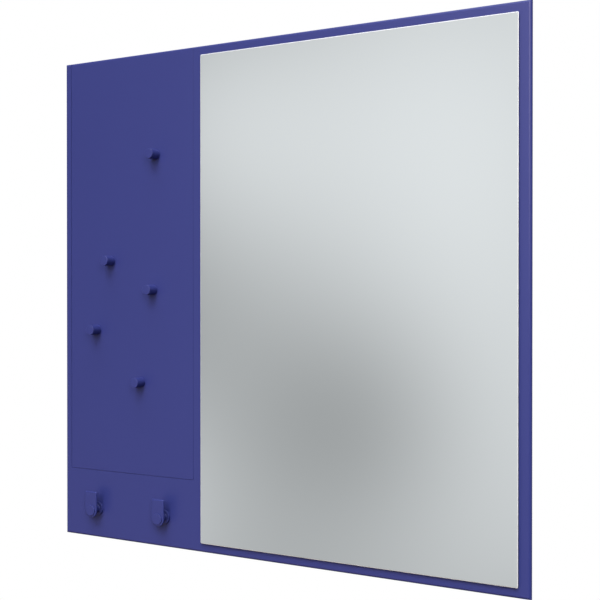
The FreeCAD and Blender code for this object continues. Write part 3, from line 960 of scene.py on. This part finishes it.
@dataclass
class Mirror:
    """The silvered glass with its ground edge, its film and its tape.

    Attributes:
        corner: Radius of the glass's corners.
        arris: Width and depth of the ground bevel round the front.
        back_arris: Width of the bevel round the back.
    """

    corner: float = 1.5 * MM
    arris: Pair = (0.8 * MM, 0.4 * MM)
    back_arris: float = 0.5 * MM

    def dress(self, finishes: Finishes) -> None:
        """Build the glass and coat what lies behind it.

        Args:
            finishes: The materials, by surface.
        """
        low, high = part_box("mirror_glass")
        thickness = high.y - low.y
        width, depth = self.arris
        rings = [
            (self.back_arris, thickness),
            (0.0, thickness - self.back_arris),
            (0.0, depth),
            (width, 0.0),
        ]
        materials = {
            GlassSkin.SILVER: finishes[Surface.SILVER],
            GlassSkin.ARRIS: finishes[Surface.GLASS_ARRIS],
            GlassSkin.EDGE: finishes[Surface.GLASS_EDGE],
            GlassSkin.BACKING: finishes[Surface.BACKING],
        }
        glass = slab_mesh(
            "mirror_silvered_glass",
            low,
            high,
            self.corner,
            rings,
            [materials[skin] for skin in GlassSkin],
            self.skin,
        )
        mount(glass, PANEL_BODY, "mirror", "mirror_glass")
        coat("mirror_safety_film", finishes[Surface.FILM])
        coat("mirror_tape_strips", finishes[Surface.FOAM])

    @staticmethod
    def skin(band: int, last: int) -> int:
        """Silver on the front, then the ground arris, bare glass, and paint on the back."""
        return GlassSkin.BACKING if band < 0 else min(last - band, GlassSkin.EDGE)


@dataclass
class MagnetKnob:
    """One pull-off knob and the magnet in its foot.

    Attributes:
        count: Which knob it is, from 1.
    """

    count: int

    def dress(self, finishes: Finishes) -> None:
        """Coat the knob and its magnet."""
        coat(f"magnet_{self.count}_knob", finishes[Surface.KNOB])
        coat(f"magnet_{self.count}_core", finishes[Surface.NICKEL])


@dataclass
class Hook:
    """One hook and the cap in its front.

    Attributes:
        side: Which hook it is.
    """

    side: str

    def dress(self, finishes: Finishes) -> None:
        """Coat the hook and its cap."""
        coat(f"hook_{self.side}", finishes[Surface.HOOK])
        coat(f"hook_{self.side}_cap", finishes[Surface.HOOK])

    def screw_place(self) -> Vector:
        """Find the screw, which lies under the cap.

        Returns:
            The middle of the top of its head.
        """
        low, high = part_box(f"hook_{self.side}_cap")
        front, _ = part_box("hook_screws")
        return Vector(((low.x + high.x) / 2, front.y, (low.z + high.z) / 2))


@dataclass
class KeyholeHanger:
    """One keyhole plate in the panel's back.

    Attributes:
        side: Which plate it is.
        screw_margin: Distance of each screw from the plate's end.
    """

    side: str
    screw_margin: float = 8 * MM

    @property
    def node(self) -> str:
        """Name of the plate's solid."""
        return f"hanger_plate_{self.side}"

    def dress(self, finishes: Finishes) -> None:
        """Coat the plate."""
        coat(self.node, finishes[Surface.ZINC])

    def screw_places(self) -> list[Vector]:
        """Find the two screws, whose heads lie in the plate's back face.

        Returns:
            The middles of the tops of their heads.
        """
        low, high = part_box(self.node)
        middle = (low.z + high.z) / 2
        return [
            Vector((low.x + self.screw_margin, high.y, middle)),
            Vector((high.x - self.screw_margin, high.y, middle)),
        ]


# Studio


def soft_patch_group() -> bpy.types.NodeTree:
    """World group: the light that one soft patch of the studio sends along a ray.

    Returns:
        The group.
    """
    tree, given, result = new_group(
        "soft_patch",
        "ShaderNodeTree",
        [
            ("Ray", "NodeSocketVector"),
            ("Direction", "NodeSocketVector"),
            ("Sharpness", "NodeSocketFloat"),
            ("Radiance", "NodeSocketVector"),
        ],
        [("Light", "NodeSocketVector")],
    )
    facing = add_node(tree, "ShaderNodeVectorMath", operation="DOT_PRODUCT")
    feed(tree, facing.inputs[0], given.outputs["Ray"])
    feed(tree, facing.inputs[1], given.outputs["Direction"])
    away = math_node(tree, "SUBTRACT", facing.outputs["Value"], 1.0)
    fade = math_node(tree, "EXPONENT", math_node(tree, "MULTIPLY", away, given.outputs["Sharpness"]))
    feed(tree, result.inputs["Light"], vector_node(tree, "MULTIPLY", given.outputs["Radiance"], fade))
    return tree


@dataclass(frozen=True)
class SoftPatch:
    """One soft patch of light in the studio, as it is seen from the panel.

    Attributes:
        azimuth: Degrees to the right of straight in front of the panel.
        elevation: Degrees above the horizon.
        spread: Degrees from its middle at which it has half its strength.
        strength: Radiance in its middle; for a dark flag, the share of light that it takes.
        tint: Colour of its light.
    """

    azimuth: float
    elevation: float
    spread: float
    strength: float
    tint: Colour = WHITE

    def direction(self) -> Vector:
        """Work out where the patch stands.

        Returns:
            The unit vector from the panel to the patch.
        """
        azimuth, elevation = math.radians(self.azimuth), math.radians(self.elevation)
        level = math.cos(elevation)
        return Vector((math.sin(azimuth) * level, -math.cos(azimuth) * level, math.sin(elevation)))

    def place(
        self, tree: bpy.types.NodeTree, group: bpy.types.NodeTree, ray: bpy.types.NodeSocket
    ) -> bpy.types.NodeSocket:
        """Add the patch to the world's tree.

        Args:
            tree: The world's tree.
            group: The soft patch group.
            ray: Direction of the ray.

        Returns:
            The light along the ray.
        """
        sharpness = math.log(2) / (1 - math.cos(math.radians(self.spread)))
        node = place_group(
            tree,
            group,
            Ray=ray,
            Direction=self.direction(),
            Sharpness=sharpness,
            Radiance=[self.strength * channel for channel in self.tint],
        )
        return node.outputs["Light"]


@dataclass(frozen=True)
class Lamp:
    """One softbox near the object, aimed at its middle.

    Attributes:
        place: Where its middle stands.
        size: Its width and height.
        power: Its power in watts.
        tint: Colour of its light.
    """

    place: Triple
    size: Pair
    power: float
    tint: Colour = WHITE

    def build(self) -> None:
        """Add the lamp to the scene."""
        light = bpy.data.lights.new("softbox", "AREA")
        light.shape = "RECTANGLE"
        light.size, light.size_y = self.size
        light.energy = self.power
        light.color = self.tint
        lamp = bpy.data.objects.new("softbox", light)
        lamp.location = self.place
        lamp.rotation_mode = "QUATERNION"
        lamp.rotation_quaternion = (-Vector(self.place)).to_track_quat("-Z", "Y")
        bpy.context.scene.collection.objects.link(lamp)


@dataclass
class Studio:
    """Plain soft light, a pale floor below and the camera.

    Attributes:
        softboxes: The lamps that light the object.
        cards: Pale cards that the mirror sees.
        flags: Dark flags before the cards.
        glow: Light from everywhere else above the dark ground.
        ground: Heights of a ray between which the ground's darkness ends.
        back_glow: Light from behind the wall, which only the back sees.
        back: Depths of a ray between which that light sets in.
        side_glow: Light from the right, which only the mirror sees.
        side: Sideways parts of a ray between which that light sets in.
        side_rise: Heights of a ray between which that light grows from nothing.
        lamp: The softbox close by on the right.
        floor_height: Height of the floor.
        floor_reach: Half the floor's width, and its depth in front of the wall.
        lens: The camera's focal length in millimetres, on its sensor's width.
        sensor: Width of the camera's sensor in millimetres.
        eye: Where the camera stands.
        yaw: Degrees that the camera is turned to the left of straight at the wall.
        pitch: Degrees that the camera looks down.
    """

    softboxes: tuple[SoftPatch, ...] = (
        SoftPatch(azimuth=13, elevation=45, spread=10, strength=12.9),
        SoftPatch(azimuth=5, elevation=79, spread=15, strength=6.0),
        SoftPatch(azimuth=2.5, elevation=22.5, spread=6, strength=17.0, tint=(1.0, 0.85, 0.8)),
        SoftPatch(azimuth=-35, elevation=-40, spread=10, strength=2.5, tint=(1.0, 0.6, 0.45)),
        SoftPatch(azimuth=-52, elevation=-14, spread=6, strength=1.0, tint=(1.0, 0.75, 0.5)),
    )
    cards: tuple[SoftPatch, ...] = (
        SoftPatch(azimuth=-16, elevation=-9.8, spread=15.6, strength=0.64),
        SoftPatch(azimuth=-18.2, elevation=13.8, spread=13.1, strength=0.63),
        SoftPatch(azimuth=-35, elevation=9.6, spread=7.4, strength=0.38),
        SoftPatch(azimuth=-41.8, elevation=-12, spread=7.7, strength=0.6),
    )
    flags: tuple[SoftPatch, ...] = (
        SoftPatch(azimuth=-24.8, elevation=-7.5, spread=5.8, strength=0.34),
        SoftPatch(azimuth=-49, elevation=2, spread=7.5, strength=0.9),
    )
    glow: float = 0.02
    ground: Pair = (-0.5, -0.27)
    back_glow: float = 0.7
    back: Pair = (0.15, 0.6)
    side_glow: float = 0.7
    side: Pair = (-0.25, 0.15)
    side_rise: Pair = (-1.0, 0.3)
    lamp: Lamp = Lamp(place=(0.95, -1.3, 0.65), size=(0.5, 0.8), power=13.4, tint=(1.0, 0.9, 0.86))
    floor_height: float = -1.2
    floor_reach: Pair = (1.5, 2.2)
    lens: float = 58.34
    sensor: float = 36.0
    eye: Triple = (0.6343, -1.1304, 0.0071)
    yaw: float = 27.760
    pitch: float = 0.340

    def build(self, finishes: Finishes) -> None:
        """Make the light, the floor and the camera.

        Args:
            finishes: The materials, by surface.
        """
        bpy.context.scene.view_settings.view_transform = "Standard"
        self.build_world()
        self.lamp.build()
        self.build_floor(finishes)
        self.build_camera()

    def build_world(self) -> None:
        """Light the object from soft patches, plain grey in the mirror, and show white to the camera."""
        world = bpy.data.worlds.new("studio")
        world.use_nodes = True
        bpy.context.scene.world = world
        tree = world.node_tree
        tree.nodes.clear()
        ray = add_node(tree, "ShaderNodeTexCoord").outputs["Generated"]
        axes = add_node(tree, "ShaderNodeSeparateXYZ")
        feed(tree, axes.inputs[0], ray)
        light = self.patch_light(tree, ray, axes)
        path = add_node(tree, "ShaderNodeLightPath")
        seen = add_node(tree, "ShaderNodeMix", data_type="RGBA")
        feed(tree, seen.inputs["Factor"], path.outputs["Is Singular Ray"])
        feed(tree, seen.inputs["A"], light)
        feed(tree, seen.inputs["B"], self.mirror_light(tree, light, axes))
        lit = add_node(tree, "ShaderNodeBackground")
        feed(tree, lit.inputs["Color"], seen.outputs["Result"])
        white = add_node(tree, "ShaderNodeBackground")
        white.inputs["Color"].default_value = (*WHITE, 1.0)
        mix = add_node(tree, "ShaderNodeMixShader")
        feed(tree, mix.inputs[0], path.outputs["Is Camera Ray"])
        feed(tree, mix.inputs[1], lit.outputs[0])
        feed(tree, mix.inputs[2], white.outputs[0])
        feed(tree, add_node(tree, "ShaderNodeOutputWorld").inputs["Surface"], mix.outputs[0])

    def patch_light(
        self, tree: bpy.types.NodeTree, ray: bpy.types.NodeSocket, axes: bpy.types.Node
    ) -> bpy.types.NodeSocket:
        """The light that the object gets along a ray.

        Args:
            tree: The world's tree.
            ray: Direction of the ray.
            axes: Node that splits that direction.

        Returns:
            The light.
        """
        group = soft_patch_group()
        light = (self.glow, self.glow, self.glow)
        for card in self.cards:
            light = vector_node(tree, "ADD", light, card.place(tree, group, ray))
        for flag in self.flags:
            left = vector_node(tree, "SUBTRACT", WHITE, flag.place(tree, group, ray))
            light = vector_node(tree, "MULTIPLY", light, left)
        light = vector_node(tree, "MULTIPLY", light, self.ramp(tree, axes.outputs["Z"], self.ground))
        for softbox in self.softboxes:
            light = vector_node(tree, "ADD", light, softbox.place(tree, group, ray))
        behind = self.ramp(tree, axes.outputs["Y"], self.back, self.back_glow)
        return vector_node(tree, "ADD", light, behind)

    def mirror_light(
        self, tree: bpy.types.NodeTree, light: bpy.types.NodeSocket, axes: bpy.types.Node
    ) -> bpy.types.NodeSocket:
        """The light that the mirror shows: the object's light in plain grey, and a light from the right.

        Args:
            tree: The world's tree.
            light: The light that the object gets along the ray.
            axes: Node that splits the ray's direction.

        Returns:
            The grey light.
        """
        grey = add_node(tree, "ShaderNodeRGBToBW")
        feed(tree, grey.inputs["Color"], light)
        rise = self.ramp(tree, axes.outputs["Z"], self.side_rise, self.side_glow)
        aside = math_node(tree, "MULTIPLY", self.ramp(tree, axes.outputs["X"], self.side), rise)
        return math_node(tree, "ADD", grey.outputs["Val"], aside)

    @staticmethod
    def ramp(
        tree: bpy.types.NodeTree, value: bpy.types.NodeSocket, ends: Pair, top: float = 1.0
    ) -> bpy.types.NodeSocket:
        """A soft step from nothing to a top value.

        Args:
            tree: The node tree.
            value: What the step follows.
            ends: Values at which the step starts and ends.
            top: What it reaches.

        Returns:
            The step's output.
        """
        node = add_node(tree, "ShaderNodeMapRange", interpolation_type="SMOOTHSTEP")
        feed(tree, node.inputs["Value"], value)
        node.inputs["From Min"].default_value, node.inputs["From Max"].default_value = ends
        node.inputs["To Max"].default_value = top
        return node.outputs["Result"]

    def build_floor(self, finishes: Finishes) -> None:
        """Lay a pale floor in front of the wall, which throws no light back.

        Args:
            finishes: The materials, by surface.
        """
        width, depth = self.floor_reach
        corners = ((-width, -depth), (width, -depth), (width, 0.0), (-width, 0.0))
        mesh = bmesh.new()
        mesh.faces.new([mesh.verts.new((x, y, self.floor_height)) for x, y in corners])
        floor = add_mesh("studio_floor", mesh)
        floor.data.materials.append(finishes[Surface.FLOOR])
        floor.visible_diffuse = False
        floor.visible_glossy = False
        floor.visible_shadow = False

    def build_camera(self) -> None:
        """Stand the camera where the photograph was taken."""
        data = bpy.data.cameras.new("camera")
        data.lens = self.lens
        data.sensor_width = self.sensor
        camera = bpy.data.objects.new("camera", data)
        yaw, pitch = math.radians(self.yaw), math.radians(self.pitch)
        level = math.cos(pitch)
        aim = Vector((-math.sin(yaw) * level, math.cos(yaw) * level, -math.sin(pitch)))
        camera.location = self.eye
        camera.rotation_mode = "QUATERNION"
        camera.rotation_quaternion = aim.to_track_quat("-Z", "Y")
        bpy.context.scene.collection.objects.link(camera)
        bpy.context.scene.camera = camera


def main() -> None:
    """Build the studio and every sub-assembly in order."""
    logging.basicConfig(level=logging.INFO, format="%(name)s: %(message)s")
    finishes = build_finishes()
    Studio().build(finishes)
    WallPanel().dress(finishes)
    NoticeBoard().dress(finishes)
    Mirror().dress(finishes)
    for count in range(1, MAGNET_COUNT + 1):
        MagnetKnob(count).dress(finishes)
    hooks = [Hook(side) for side in SIDES]
    hangers = [KeyholeHanger(side) for side in SIDES]
    for piece in (*hooks, *hangers):
        piece.dress(finishes)
    tree = CrossHeadScrew().tree()
    Screws(
        "hook_screws",
        [hook.screw_place() for hook in hooks],
        ScrewHead.PAN,
        HeadSide.FRONT,
        thread=4 * MM,
        head_height=2.5 * MM,
    ).dress(finishes, tree)
    Screws(
        "hanger_screws",
        [place for hanger in hangers for place in hanger.screw_places()],
        ScrewHead.COUNTERSUNK,
        HeadSide.WALL,
        thread=3.5 * MM,
        head_height=1.65 * MM,
    ).dress(finishes, tree)


if __name__ == "__main__":
    main()
